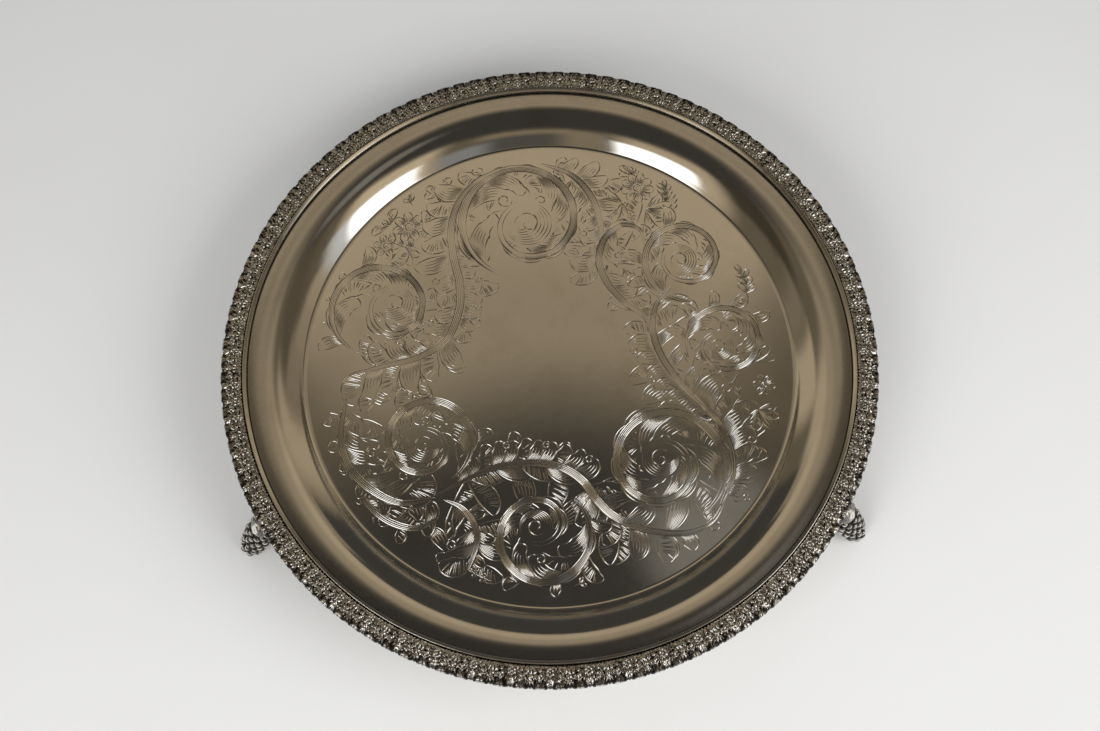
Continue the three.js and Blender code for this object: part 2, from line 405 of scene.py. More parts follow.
def volute(e, centre, eye, outer, inner, start, turn, wind, inside, ribbon, outside=0):
    """A big C-scroll: a ribbon that winds from the outer circle round centre to the inner one round eye.
    turn is 1 where it winds anticlockwise. Lobes spring from its inner edge, and some from its back."""
    sweep = 360 * wind * turn
    n = max(60, int(math.radians(abs(sweep)) * (outer + inner) / 2 / CUT_STEP))
    t = np.linspace(0, 1, n)
    blend = np.clip((t - 0.25) / 0.75, 0, 1)
    blend = blend * blend * (3 - 2 * blend)
    radius = outer + (inner - outer) * blend
    middle = np.array(centre) * (1 - blend[:, None]) + np.array(eye) * blend[:, None]
    line = polar(middle.T, radius, np.radians(start + sweep * t))
    width = turn * ribbon * (1 - 0.55 * t) * np.minimum(1, 5 * t + 0.12)
    end = start + sweep
    curl = spiral(eye, inner * 0.52, inner * 0.12, end - 70 * turn, 400 * turn)
    e.cut(curl, OUTLINE)
    e.cover(curl[:len(curl) * 9 // 10])
    drift = (0.05 * inner * turn, 0.02 * inner)
    crescent(e, eye, inner * 0.97, end - 100 * turn, -215 * turn, drift)
    inner_edge = band(e, line, width, (0.04, 0.8))
    gap = outer - inner
    e.cover_disc(eye, inner * 0.97)
    frond(e, inner_edge, inside, turn, gap * 1.4, 6, 160, 0.46, 0.03, 0.7, -0.75, (leaf, raked, hook))
    frond(e, line, outside, -turn, gap * 1.05, 20, 115, 0.46, 0.02, 0.36, 0.3, (leaf, raked))


def flower(e, centre, radius, petals):
    """A round flower with a ringed eye."""
    e.cut(spiral(centre, radius * 0.22, radius * 0.22, 0, 360), OUTLINE)
    e.cut(spiral(centre, radius * 0.11, radius * 0.08, 0, 360), HATCH)
    e.cover_disc(centre, radius * 0.22)
    for k in range(petals):
        turn = 360 * k / petals
        root = polar(centre, 0.2 * radius, math.radians(turn))
        leaf(e, root, turn - 14, radius * 0.8, 28, radius * 0.5)


def sprig(e, base, heading, length, bend, pairs, size):
    """A thin stem with pairs of small pointed leaves."""
    stem = spine(base, heading, length, bend)
    e.cut(stem, HATCH)
    leaf(e, stem[-1], heading + bend, size, 10, size * 0.4)
    for side in (1, -1):
        frond(e, stem, pairs, side, size, 38, 24, 0.42, 0.15, 1.0, -0.4)


def branch(e, points, width):
    """A tapering stem through a few points, drawn as several lines that run together at both ends."""
    line = smooth_line(points, CUT_STEP)
    t = np.linspace(0, 1, len(line))
    half = width / 2 * np.sin(math.pi * t) ** 0.6
    band(e, beside(line, -half), 2 * half, (0.03, 0.97))
    return line


def engrave_stems(e):
    """The main stems, which lie in front of the leaves that spring from them."""
    low = branch(e, [(-54, -64), (-40, -57), (-27, -51.5), (-10, -49.5), (4, -52), (14, -59), (20, -68),
                     (28, -76), (42, -82), (58, -84), (72, -79), (80, -66)], 3.0)
    left = branch(e, [(-96, -16), (-98, -34), (-94, -49), (-84, -60), (-70, -67), (-54, -65)], 3.2)
    rise = branch(e, [(74, -26), (63, -14), (54, 0), (50, 14), (52, 28), (60, 38)], 3.0)
    inner = branch(e, [(48, 60), (46, 69), (37, 71.5), (29, 65), (25.5, 54), (28, 42), (36, 31), (46, 22),
                       (52, 10)], 3)
    shoulder = branch(e, [(-2, 107), (12, 101), (21, 91), (26, 78), (27, 64), (24, 52)], 3)
    fall = branch(e, [(-18, 106), (-33, 99), (-43, 87), (-47, 72), (-46, 56), (-43, 42), (-43, 28),
                      (-49, 13), (-62, 4), (-78, 0), (-94, -4)], 3.6)
    return low, left, rise, inner, shoulder, fall


def engrave_scrolls(e):
    """The seven big scrolls, clockwise from the top."""
    volute(e, (-12, 75.5), (-9, 73.5), 31.5, 13, 262, -1, 1.42, 11, 4.4)
    volute(e, (68, 51), (65, 52), 21.5, 9, 275, -1, 1.35, 8, 3.2, 5)
    volute(e, (84, 8), (81, 6), 19, 7.5, 200, -1, 1.3, 7, 2.8, 5)
    volute(e, (53.5, -52), (50, -49), 27.5, 9.5, 300, 1, 1.5, 10, 3.8)
    volute(e, (-5, -84), (-8, -79.5), 22.5, 8.5, 50, -1, 1.45, 9, 3.4, 4)
    volute(e, (-57.5, -38), (-60, -40), 21.5, 9, 300, 1, 1.45, 8, 3.4, 2)
    volute(e, (-82, 29), (-74, 32), 24, 10, 250, -1, 1.4, 8, 3.4, 6)


def fringe_bottom(e, low):
    """The fronds of the bottom stem."""
    frond(e, low, 11, 1, 15, 22, 118, 0.54, 0.06, 0.44, 0.2, (leaf, hook, raked))
    frond(e, low, 4, 1, 18, 30, 85, 0.54, 0.46, 0.66, 0, (raked, leaf))
    frond(e, low, 4, -1, 22, 28, -85, 0.52, 0.08, 0.38, 0, (raked, leaf))
    frond(e, low, 5, -1, 17, 35, 85, 0.54, 0.48, 0.84, 0, (leaf, raked))
    fan(e, (26, -76), 262, 22, 90, 3, 9)


def fringe_left(e, left):
    """The outer scroll at the lower left, with two more stems."""
    frond(e, left, 7, 1, 21, 16, 125, 0.5, 0.0, 0.82, 0.2, (raked, leaf, hook))
    frond(e, left, 4, -1, 11, 20, 90, 0.5, 0.3, 0.9, 0, (leaf,))
    tail = branch(e, [(-90, -57), (-84, -68), (-74, -76), (-62, -79), (-52, -74)], 2.6)
    frond(e, tail, 5, 1, 13, 20, 115, 0.5, 0.1, 0.95, 0, (leaf, raked))
    spray = branch(e, [(-50, -66), (-42, -70), (-36, -78), (-35, -87), (-39, -99)], 2.2)
    frond(e, spray, 5, -1, 17, 30, 100, 0.54, 0.05, 0.95, 0, (leaf, raked, hook))
    frond(e, spray, 3, 1, 9, 30, 80, 0.5, 0.2, 0.9, 0, (leaf,))
    return tail, spray


def fringe_right(e, rise, inner, shoulder):
    """The fronds of the right-hand side, with one more stem."""
    right = branch(e, [(76, -72), (82, -60), (83, -47), (79, -34), (72, -24)], 2.6)
    frond(e, right, 7, -1, 17, 24, 115, 0.54, 0.06, 0.98, 0.4, (hook, leaf, raked))
    frond(e, rise, 7, -1, 20, 26, 105, 0.52, 0.02, 0.66, 0, (raked, leaf))
    frond(e, rise, 6, 1, 15, 24, 100, 0.54, 0.0, 0.55, 0, (leaf, hook))
    frond(e, inner, 8, 1, 17, 14, 130, 0.5, 0.08, 0.85, 0, (raked, leaf, hook))
    frond(e, shoulder, 7, -1, 16, 20, 130, 0.54, 0.2, 1.0, 0, (leaf, hook, raked))
    frond(e, shoulder, 4, 1, 15, 28, 75, 0.4, 0.05, 0.75, 0, (leaf,))
    fan(e, (76, -16), 40, 18, 80, 3, 7.5)
    return right


def fringe_fall(e, fall):
    """The fronds of the long stem down the upper left."""
    frond(e, fall, 8, -1, 16, 24, 115, 0.52, 0.42, 0.9, 0, (hook, raked, leaf))
    frond(e, fall, 7, 1, 12.5, 26, 105, 0.54, 0.34, 0.62, 0, (leaf, hook))
    frond(e, fall, 7, 1, 19, 24, 100, 0.5, 0.6, 0.98, 0, (raked, leaf))
    frond(e, fall, 5, -1, 17, 24, 105, 0.52, 0.08, 0.34, 0, (raked, leaf))
    fan(e, (-66, -8), 250, 17, 110, 3, 8)
    fan(e, (-84, -10), 250, 14, 110, 3, 7)


def engrave_flowers(e):
    """The flower sprays and the sprigs."""
    flower(e, (-68, 73), 8.5, 7)
    flower(e, (-79, 63), 6.5, 6)
    flower(e, (46, 92), 8.5, 9)
    flower(e, (101, -14), 5.5, 6)
    for base, heading, length, spread, breadth in (
        ((-59, 70), 60, 14, 120, 4.6),
        ((-70, 62), 250, 12, 120, 4.2),
        ((-78, 74), 140, 13, 110, 4.2),
        ((50, 80), 340, 15, 100, 5.0),
        ((38, 84), 210, 13, 110, 4.4),
        ((44, 100), 110, 9, 120, 3.6),
        ((98, -2), 80, 12, 110, 4.2),
        ((97, -26), 300, 12, 110, 4.2),
        ((-52, 92), 130, 12, 110, 4.4),
    ):
        fan(e, base, heading, length, spread, 5, breadth)
    for base, heading, length, bend, pairs, size in (
        ((-62, 60), 150, 16, 20, 3, 6),
        ((-66, 84), 120, 12, -20, 3, 5),
        ((60, 74), 88, 18, 5, 5, 7),
        ((96, 30), 80, 14, 40, 3, 6),
        ((8, -107), 20, 10, 20, 2, 3),
        ((-28, -104), 160, 10, -20, 2, 3),
    ):
        sprig(e, base, heading, length, bend, pairs, size)


def engrave_wreath(e):
    """The wreath of scrolls that fills the well round its empty middle, from its front to its back."""
    low, left, rise, inner, shoulder, fall = engrave_stems(e)
    engrave_scrolls(e)
    fringe_bottom(e, low)
    tail, spray = fringe_left(e, left)
    right = fringe_right(e, rise, inner, shoulder)
    fringe_fall(e, fall)
    engrave_flowers(e)
    # a second row of leaves behind the rest fills the ground between the scrolls
    for line, count, size in (
        (low, 7, 21),
        (left, 6, 20),
        (rise, 7, 22),
        (inner, 5, 18),
        (shoulder, 6, 19),
        (fall, 9, 20),
        (tail, 4, 16),
        (spray, 5, 16),
        (right, 6, 21),
    ):
        for side in (1, -1):
            frond(e, line, count, side, size, 58, 60, 0.42, 0.04, 0.96, 0, (raked, leaf))


def engrave_flourish(e):
    """A plain pen flourish in the empty middle: a run of loops that grow and die away."""
    t = np.linspace(-1, 1, 260)
    swell = 3.4 * np.cos(t * math.pi / 2) ** 0.7
    turn = t * math.pi * 9
    e.cut(np.stack([22 * t + swell * np.sin(turn), 4 + swell * 0.8 * np.cos(turn)], -1), HATCH * 0.7)


# ---- plate ----

WALL_SLOPE = 30  # degrees, of the sides of an engraved cut
SAMPLE_STEP = 0.12  # between the places along a cut where its depth is taken
ENGRAVED_RADIUS = 114.4  # the flat that the cuts lie in ends here
EDGE_ROUNDING = 1.6  # half width of the curve between the well and the bouge
SCRIBE_RADIUS = WELL_RADIUS - 1.1  # a fine line is turned just inside the well's edge
SCRIBE_WIDTH = 0.34
SCRIBE_DEPTH = 0.14
PLATE_EDGE_ROUNDING = 0.35
CUT_TONING = 0.55  # how dark the bottoms of the cuts are
RIM_TONING = 0.4  # how dark the rim is, from just inside its start to the wire
# painted shade along the foot of the wire, where the rim runs under it
JOINT_SHADE = 0.9
JOINT_WIDTH = 0.3  # of the line of painted shade at the foot of the wire
MERGE = 1e-5


def groove_net(cuts):
    """Every cut as an outline and a middle line, to triangulate, and samples of the middle lines."""
    vertices, edges, outlines, samples = [], [], [], []
    for points, half_width in cuts:
        taper = half_width * np.sin(math.pi * np.linspace(0, 1, len(points))) ** 0.55
        n = len(points)
        first = len(vertices)
        vertices += [*points, *beside(points, taper)[1:-1], *beside(points, -taper)[1:-1]]
        edges += [(first + i, first + i + 1) for i in range(n - 1)]
        left_run = range(first + n, first + 2 * n - 2)
        right_run = range(first + 2 * n - 2, first + 3 * n - 4)
        outlines.append([first, *right_run, first + n - 1, *reversed(left_run)])
        for a, b, wa, wb in zip(points[:-1], points[1:], taper[:-1], taper[1:]):
            steps = max(1, int(np.hypot(*(b - a)) / SAMPLE_STEP))
            samples += [(*(a + (b - a) * k / steps), wa + (wb - wa) * k / steps) for k in range(steps)]
    return vertices, edges, outlines, samples


def groove_depths(vertices, samples):
    """How deep the cuts reach at each vertex: the deepest of the V-shaped cuts that pass it."""
    tree = tree_of([(x, y, 0) for x, y, _ in samples])
    reach = max(w for *_, w in samples)
    depths = []
    for x, y in vertices:
        near = tree.find_range((x, y, 0), reach)
        depths.append(max([0.0, *(samples[i][2] - distance for _, i, distance in near)]))
    return np.array(depths) * math.tan(math.radians(WALL_SLOPE))


def engraved_disc():
    """The flat of the well with the cuts in it. Its first vertices are its outer edge, anticlockwise."""
    engraving = Engraving(7)
    engrave_wreath(engraving)
    engrave_flourish(engraving)
    net, edges, outlines, samples = groove_net(engraving.cuts)
    rim = polar((0, 0), ENGRAVED_RADIUS, circle(ROUND_SEGMENTS))
    points = [Vector(p) for p in np.vstack([rim, net]).tolist()]
    edges = [(a + ROUND_SEGMENTS, b + ROUND_SEGMENTS) for a, b in edges]
    outlines = [list(range(ROUND_SEGMENTS)), *([i + ROUND_SEGMENTS for i in line] for line in outlines)]
    flat, _, faces, _, _, inside = delaunay_2d_cdt(points, edges, outlines, 1, MERGE)
    flat = np.array([tuple(p) for p in flat])
    height = -groove_depths(flat, samples)
    uncut = [i for face, outer in zip(faces, inside) if len(outer) < 2 for i in face]
    height[uncut] = 0
    on_rim = np.abs(radii(flat) - ENGRAVED_RADIUS) < 1e-3
    turn = np.arctan2(flat[:, 1], flat[:, 0]) % (2 * math.pi - 1e-7)
    outer = np.where(on_rim)[0]
    outer = outer[np.argsort(turn[outer])]
    order = np.concatenate([outer, np.where(~on_rim)[0]])
    place = np.empty(len(flat), int)
    place[order] = np.arange(len(flat))
    vertices = np.column_stack([flat, height])[order]
    return vertices, [[place[i] for i in f] for f in faces], len(outer)


def bouge_line(count):
    """The upper face of the bouge from the well's edge to the rim, as (radius, height)."""
    bend = WELL_RADIUS + RIM_HEIGHT / math.tan(math.radians(WELL_SLOPE))
    return bezier((WELL_RADIUS, 0), (bend, RIM_HEIGHT), (RIM_START_RADIUS, RIM_HEIGHT), count)


def plate_profile():
    """The plate's section outside the engraved disc: upper face outwards, edge, underside inwards."""
    scribe = [
        (SCRIBE_RADIUS - SCRIBE_WIDTH / 2, 0),
        (SCRIBE_RADIUS, -SCRIBE_DEPTH),
        (SCRIBE_RADIUS + SCRIBE_WIDTH / 2, 0),
    ]
    slope = math.radians(WELL_SLOPE)
    climb = EDGE_ROUNDING * 0.55
    end = (WELL_RADIUS + climb * math.cos(slope), climb * math.sin(slope))
    fillet = bezier((WELL_RADIUS - EDGE_ROUNDING, 0), (WELL_RADIUS, 0), end, 7)
    upper = bouge_line(30)
    bouge = upper[upper[:, 0] > end[0] + 0.2]
    lower = beside(upper, -SHEET)
    r = PLATE_EDGE_ROUNDING
    edge = [
        (WIRE_INNER_RADIUS - 2 * JOINT_WIDTH, RIM_HEIGHT),
        (WIRE_INNER_RADIUS - JOINT_WIDTH / 2, RIM_HEIGHT),
        (PLATE_RADIUS - r, RIM_HEIGHT),
        (PLATE_RADIUS, RIM_HEIGHT - r),
        (PLATE_RADIUS, RIM_HEIGHT - SHEET + r),
        (PLATE_RADIUS - r, RIM_HEIGHT - SHEET),
    ]
    below = [(WELL_RADIUS / share, -SHEET) for share in (1, 2, 20)]
    return np.vstack([scribe, fillet, bouge, edge, lower[::-3], below])


def make_plate(material):
    disc, faces, rim_count = engraved_disc()
    profile = plate_profile()
    angles = np.arctan2(disc[:rim_count, 1], disc[:rim_count, 0])
    ring = around(angles, profile[:, 0], profile[:, 1]).reshape(-1, 3)
    columns, first, flat_faces = len(profile), len(disc), len(faces)
    centre = first + len(ring)
    starts = [first + i * columns for i in range(rim_count)]
    pairs = [(i, (i + 1) % rim_count) for i in range(rim_count)]
    faces += [[i, starts[i], starts[j], j] for i, j in pairs]
    faces += (grid_faces(rim_count, columns, wrap_rows=True) + first)[:, ::-1].tolist()
    faces += [[starts[j] + columns - 1, starts[i] + columns - 1, centre] for i, j in pairs]
    vertices = np.vstack([disc, ring, [(0, 0, -SHEET)]])
    plate = make_piece("salver_plate", vertices, faces, material, sharp=24)
    plate.data.polygons.foreach_set("use_smooth", [i >= flat_faces for i in range(len(faces))])
    distance = radii(vertices)
    toned_rim = RIM_TONING * np.clip((distance - 130) / 7, 0, 1)
    # painted shade at the foot of the wire and on the plate beyond it
    tarnish_and_shade = np.where(distance > WIRE_INNER_RADIUS - JOINT_WIDTH, JOINT_SHADE, toned_rim)
    tarnish_and_shade[:first] = np.where(disc[:, 2] < 0, CUT_TONING, 0)
    store_tarnish_and_shade(plate.data, tarnish_and_shade)
    return plate


# ---- rim wire ----

WIRE_SEGMENTS = 720
WIRE_BEVEL = 1.07  # how far its sloping face rises from the inner side to the ridge
WIRE_RIDGE = 0.35  # radius of the ridge by the border
WIRE_SHADE_HEIGHT = 0.7  # how high the painted shade in its joint with the plate reaches


def wire_section():
    """The wire's section as (radius, height): upright inside, then a broad slope up to a round ridge."""
    base, top = wire_low[2], wire_high[2]
    inner, outer = WIRE_INNER_RADIUS, WIRE_OUTER_RADIUS
    crest = outer - WIRE_RIDGE
    slope = bezier((inner, top - WIRE_BEVEL), (inner + 0.638, top - 0.498), (crest, top - 0.02), 9)
    turn = np.linspace(math.pi / 2, 0, 7)[1:]
    round_off = polar((crest, top - WIRE_RIDGE), WIRE_RIDGE, turn)
    return np.vstack([(inner, base), (inner, base + WIRE_SHADE_HEIGHT), slope, round_off, (outer, base)])


def make_wire(material):
    """The drawn wire between the plate's rim and the border."""
    section = wire_section()[::-1]
    grid = around(circle(WIRE_SEGMENTS), section[:, 0], section[:, 1])
    faces = grid_faces(WIRE_SEGMENTS, len(section), True, True)
    wire = make_piece("drawn_rim_wire", grid.reshape(-1, 3), faces, material, sharp=35)
    # painted shade on the wire: at its foot by the plate, and down its outer side by the border
    near_border = section[:, 0] > WIRE_OUTER_RADIUS - WIRE_RIDGE
    line = np.where(near_border, wire_high[2] - WIRE_RIDGE, wire_low[2] + WIRE_SHADE_HEIGHT)
    store_tarnish_and_shade(wire.data, np.tile(np.clip((line - section[:, 1]) / 0.5, 0, 1), WIRE_SEGMENTS))
    return wire


# ---- border ----

LOBE_COUNT = 112
TILE_STEPS = 66  # steps round one repeat of the pattern, which is a shell and a leaf
TILE_COUNT = LOBE_COUNT // 2
TILE_LENGTH = 2 * math.pi * OUTER_RADIUS / TILE_COUNT * 0.97
REEDS = 10  # along the wire, in one repeat
SEAM_ANGLE = 109.6  # degrees, where one of the two butt joints lies
SEAM_GAP = 0.3
RELIEF = 1.25  # height of the ornament over its ground
CLEAN_RELIEF = 1.05  # the ornament is rubbed clean above this height
DOME_STEPS = 44
PATTERN_STRETCH = 1.14  # carries the motifs over the shoulder of the dome
SHELL_ROOT = 4.3  # how far from the wire the shell's flutes start
SHELL_SPREAD = math.radians(30)
ROSETTE = 2.8  # how far from the wire the rosette's middle is
FOLIAGE_ROWS = 6
FOLIAGE_COLUMNS = 10
NOTCH = 0.8  # how far the rest falls back between the lobes along the edge
LOBE_REACH = 0.4  # how far the lobes of the real casting stand past the CAD border's outline
EDGE_SHADE = 0.5  # how much darker the drooping edge is painted: painted shade where it faces outwards and down
# how much darker the border's lip and seat below are
LIP_DARKNESS = 0.6


def highest(*heights):
    return reduce(np.maximum, heights)


def ridge(distance, width):
    """1 along a line, dying away over the width."""
    return np.exp(-((distance / width) ** 2))


def boss(du, dv, across, along, height):
    """A rounded bump."""
    return height * np.sqrt(np.clip(1 - (du / across) ** 2 - (dv / along) ** 2, 0, 1))


def fluted(spread, count):
    """Flutes side by side over an angle or a length, as a share of full height."""
    return np.abs(np.cos(spread * count)) ** 0.6


def shell(du, v):
    """A scallop shell that fans out to the border's edge, over a bud between two small scrolls."""
    spread = np.arctan2(du, v - SHELL_ROOT)
    reach = np.hypot(du, v - SHELL_ROOT) / (5.7 + 0.25 * np.cos(spread * 12))
    rounding = np.sqrt(np.clip(1 - reach ** 4, 0, 1))
    fan = RELIEF * (0.35 + 0.65 * fluted(spread, 6)) * rounding * (0.6 + 0.4 * reach)
    relief = highest(
        np.where(np.abs(spread) < SHELL_SPREAD, fan, 0),
        boss(du, v - 4.5, 1.0, 0.9, RELIEF),
        boss(du, v - 2.5, 0.7, 1.5, 1.15),
    )
    for side in (-1, 1):
        away = du - side * 2.9
        relief = highest(
            relief,
            boss(du - side * 1.35 - side * 0.3 * (v - 2.4), v - 2.4, 0.55, 1.5, 1.05),
            1.1 * ridge(np.hypot(away, v - 4.6) - 0.72, 0.3),
            boss(away, v - 4.6, 0.32, 0.32, 1.0),
        )
    return relief


def leaf_and_rosette(du, v):
    """A leaf of three round lobes with veins, over a rosette of six petals."""
    petals = 0.22 * np.cos(6 * np.arctan2(du, v - ROSETTE))
    flower = (1.0 + petals) * ridge(np.hypot(du, v - ROSETTE) - 1.25, 0.55)
    relief = highest(flower, boss(du, v - ROSETTE, 0.55, 0.55, RELIEF))
    for middle, top, width in ((0.0, 10.2, 1.5), (-1.5, 9.0, 1.2), (1.5, 9.0, 1.2)):
        aside = du - middle * (v - 4.5) / 5.0
        along = np.clip((v - 4.2) / (top - 4.2), 0, 1)
        half = width * np.sin(math.pi * along ** 1.15) ** 0.6 + 1e-3
        edge = np.clip(1 - (aside / half) ** 2, 0, 1)
        veins = 0.75 + 0.25 * fluted(v - 1.1 * np.abs(aside), math.pi / 1.05)
        rib = 0.3 * ridge(aside, 0.25)
        relief = highest(relief, np.where(edge > 0, 1.05 * edge ** 0.4 * veins + rib * edge, 0))
    return relief


def drooping_lobe(du, v):
    """A smooth round lobe that hangs over the edge, under a spray of three beads."""
    crease = 1 - 0.22 * ridge(du, 0.3) * np.clip((v - 6.6) / 2, 0, 1)
    return highest(
        boss(du, v - 8.7, 3.5, 2.7, RELIEF) * crease,
        boss(du, v - 2.2, 0.62, 0.8, 1.0),
        boss(du, v - 3.9, 0.8, 0.8, 1.1),
        boss(du, v - 5.5, 0.62, 0.62, 1.1),
    )


def wrapped(u):
    """A distance round the border, counted from the nearest repeat of the pattern."""
    return (u + TILE_LENGTH / 2) % TILE_LENGTH - TILE_LENGTH / 2


def foliage(u, v):
    """Small overlapping leaves that leave only thin dark lines of the ground between them."""
    rng = random.Random(5)
    relief = 0
    for row in range(FOLIAGE_ROWS):
        for column in range(FOLIAGE_COLUMNS):
            middle = (column + row % 2 / 2 + rng.uniform(-0.2, 0.2)) * TILE_LENGTH / FOLIAGE_COLUMNS
            du = wrapped(u - middle)
            dv = v - (1.2 + 1.3 * row + rng.uniform(-0.25, 0.25))
            turn = rng.uniform(0, math.pi)
            along = du * math.cos(turn) + dv * math.sin(turn)
            across = dv * math.cos(turn) - du * math.sin(turn)
            groove = 1 - 0.3 * ridge(across, 0.2)
            relief = highest(relief, boss(across, along, 0.7, 1.15, rng.uniform(0.75, 0.98)) * groove)
    return relief


def reeding(u, v):
    """A row of short reeds along the wire."""
    pitch = TILE_LENGTH / REEDS
    end = np.sqrt(np.clip(1 - ((v - 0.9) / 1.15) ** 2, 0, 1))
    return 0.7 * fluted(u / pitch - 0.5, math.pi) * end


def casting_grain(u, v):
    """The small unevenness of a worn casting."""
    return 0.09 * np.sin(5.3 * u + 2.1 * np.sin(1.7 * v)) * np.sin(4.7 * v + 1.9 * np.sin(1.3 * u))


def ornament(u, v):
    """Height of the ornament at u round the border and v across it, both in millimetres."""
    away = [wrapped(u - share * TILE_LENGTH) for share in (0.0, 0.25, 0.5, 0.75)]
    relief = highest(reeding(u, v), foliage(u, v), shell(away[1], v), leaf_and_rosette(away[3], v))
    relief = relief * (1 - NOTCH * np.clip((v - 7.4) / 1.3, 0, 1))
    for lobe, between in ((away[0], away[1]), (away[2], away[3])):
        relief = highest(
            relief,
            drooping_lobe(lobe, v),
            boss(between, v - 9.9, 0.75, 1.5, 0.6),
            boss(np.abs(between) - 1.35, v - 10.3, 0.55, 0.9, 0.8),
        )
    return np.clip(relief + casting_grain(u, v), 0, RELIEF * 1.02)


def dome_line():
    """The ornament's ground as (radius, height), from the inner top edge over the dome and down the lip."""
    inner = BORDER_INNER_RADIUS + 0.12
    outer = OUTER_RADIUS + LOBE_REACH - 0.95
    crest = border_high[2] - RELIEF * 1.03
    shape = ((0, 1.0), (0.16, 0.3), (0.42, 0), (0.7, 0.2), (0.9, 0.75), (1, 1.5))
    points = [(inner + share * (outer - inner), crest - drop) for share, drop in shape]
    return smooth_line([*points, (outer, border_low[2])], 0.02)


def border_underside():
    """The border's lip and seat, from the outside inwards, as (radius, height)."""
    base, lip = wire_low[2], border_low[2]
    seat = PLATE_RADIUS + SEAM_GAP
    inner = BORDER_INNER_RADIUS
    outer = OUTER_RADIUS - 1.2
    return np.array([(outer, lip), (seat, lip), (seat, base), (inner, base), (inner, base + 0.5)])


def make_border_half(name, start_angle, material):
    """Half of the cast border: its ground plus the ornament, closed below and at both ends."""
    dense = dome_line()
    dome = dense[np.linspace(0, len(dense) - 1, DOME_STEPS).astype(int)]
    v = travelled_along(dome)
    steps = TILE_STEPS * TILE_COUNT // 2
    margin = SEAM_GAP / 2 / OUTER_RADIUS
    angles = np.linspace(margin, math.pi - margin, steps + 1)
    u = angles / (2 * math.pi) * TILE_COUNT * TILE_LENGTH
    worn = 1 + 0.06 * np.sin(angles * 37.3) + 0.05 * np.sin(angles * 91.7 + 1)
    relief = ornament(u[:, None], v / PATTERN_STRETCH) * np.minimum(worn, 1)[:, None]
    raised = (relief * np.clip(v / 0.35, 0, 1))[:, :, None]
    under = np.tile(border_underside(), (len(angles), 1, 1))
    section = np.concatenate([dome + left_normals(dome) * raised, under], 1)
    radius = np.minimum(section[:, :, 0], OUTER_RADIUS + LOBE_REACH)
    height = np.clip(section[:, :, 1], border_low[2], border_high[2])
    turn = angles[:, None] + math.radians(start_angle)
    vertices = np.stack([np.cos(turn) * radius, np.sin(turn) * radius, height], -1).reshape(-1, 3)
    columns = radius.shape[1]
    last = len(vertices) - columns
    faces = grid_faces(len(angles), columns, wrap_columns=True)[:, ::-1].tolist()
    faces += [list(range(columns)), [last + k for k in reversed(range(columns))]]
    half = make_piece(name, vertices, faces, material, sharp=60)
    # tarnish in the ornament's low ground, with painted shade on the drooping edge
    edge_shade = EDGE_SHADE * np.clip((v - v[-1] + 4.6) / 1.6, 0, 1)
    tarnish_and_shade = np.pad(1 - relief / CLEAN_RELIEF + edge_shade, ((0, 0), (0, under.shape[1])),
                    constant_values=LIP_DARKNESS)
    store_tarnish_and_shade(half.data, np.clip(tarnish_and_shade, 0, 1).ravel())
    return half


# ---- feet, each made for the back of the salver, towards +Y, and then turned into place ----

GRAPE_RADIUS = 1.7
GRAPE_ROW = 2.65  # distance between rows of grapes
GRAPE_VOXEL = 0.26
CAD_GRAPE = 2.8  # how far the CAD bunch's own grapes stand past its axis ends
LEAF_LENGTH = 25.5
LEAF_HALF_WIDTH = 9.0
LEAF_THICKNESS = 1.3
LEAF_SHORTER = 4.5  # how far the leaf's tip stays inside the CAD leaf's
LEAF_GRID = 0.34
LEAF_TONING = 0.6
# how much darker the leaf's underside is
LEAF_BACK_DARKNESS = 0.7
VEIN_ROOT = 5.5  # how far along the leaf its veins part
VEIN_SPREAD = math.radians(36)
VEIN_PAIRS = 3  # the middle one, and the outer ones on both sides
LEAF_LOBES = [  # the leaf's half outline, as shares of its length and of its half width
    (0.0, 0.3),
    (0.2, 0.42),
    (0.28, 0.72),
    (0.35, 0.8),
    (0.42, 0.68),
    (0.46, 0.6),
    (0.54, 0.82),
    (0.64, 1.0),
    (0.71, 0.84),
    (0.74, 0.56),
    (0.81, 0.6),
    (0.88, 0.52),
    (0.93, 0.34),
    (1.0, 0.0),
]


def turned_into_place(piece, name, angle):
    """A piece made at +Y, or a copy of it with the same mesh, turned about Z to stand at an angle."""
    twin = piece
    if piece.name != name:
        twin = piece.copy()
        twin.name = name
        bpy.context.scene.collection.objects.link(twin)
    twin.rotation_euler = (0, 0, math.radians(angle - FOOT_ANGLES["back"]))
    return twin


def bunch_axis():
    """The bunch's axis as (distance from Z, height) at its top and at its tip."""
    top = np.array([bunch_low[1] + 2.6 + CAD_GRAPE, bunch_high[2] - 1.4])
    tip = np.array([bunch_high[1] - CAD_GRAPE, GROUND_HEIGHT + 2.0])
    return top, tip


def grape_centres(rng):
    """The grapes' middles, in rows round the bunch's axis."""
    top, tip = bunch_axis()
    axis = tip - top
    length = np.hypot(*axis)
    across_axis = np.array([axis[1], -axis[0]]) / length
    half_width = bunch_high[0] - GRAPE_RADIUS - 0.7
    half_depth = half_width - 1.2
    rows = int(length / GRAPE_ROW)
    centres = []
    for row in range(rows + 1):
        t = row / rows
        girth = math.sqrt(max(0.02, 1 - ((t - 0.48) / 0.62) ** 2))
        count = max(1, round(2 * math.pi * half_width * girth / (2.15 * GRAPE_RADIUS)))
        for i in range(count):
            turn = 2 * math.pi * (i + (row % 2) / 2) / count + rng.uniform(-0.08, 0.08)
            depth = half_depth * girth * math.cos(turn)
            place = top + axis * (t + rng.uniform(-0.008, 0.008)) + across_axis * depth
            centres.append((half_width * girth * math.sin(turn), *place))
    return centres


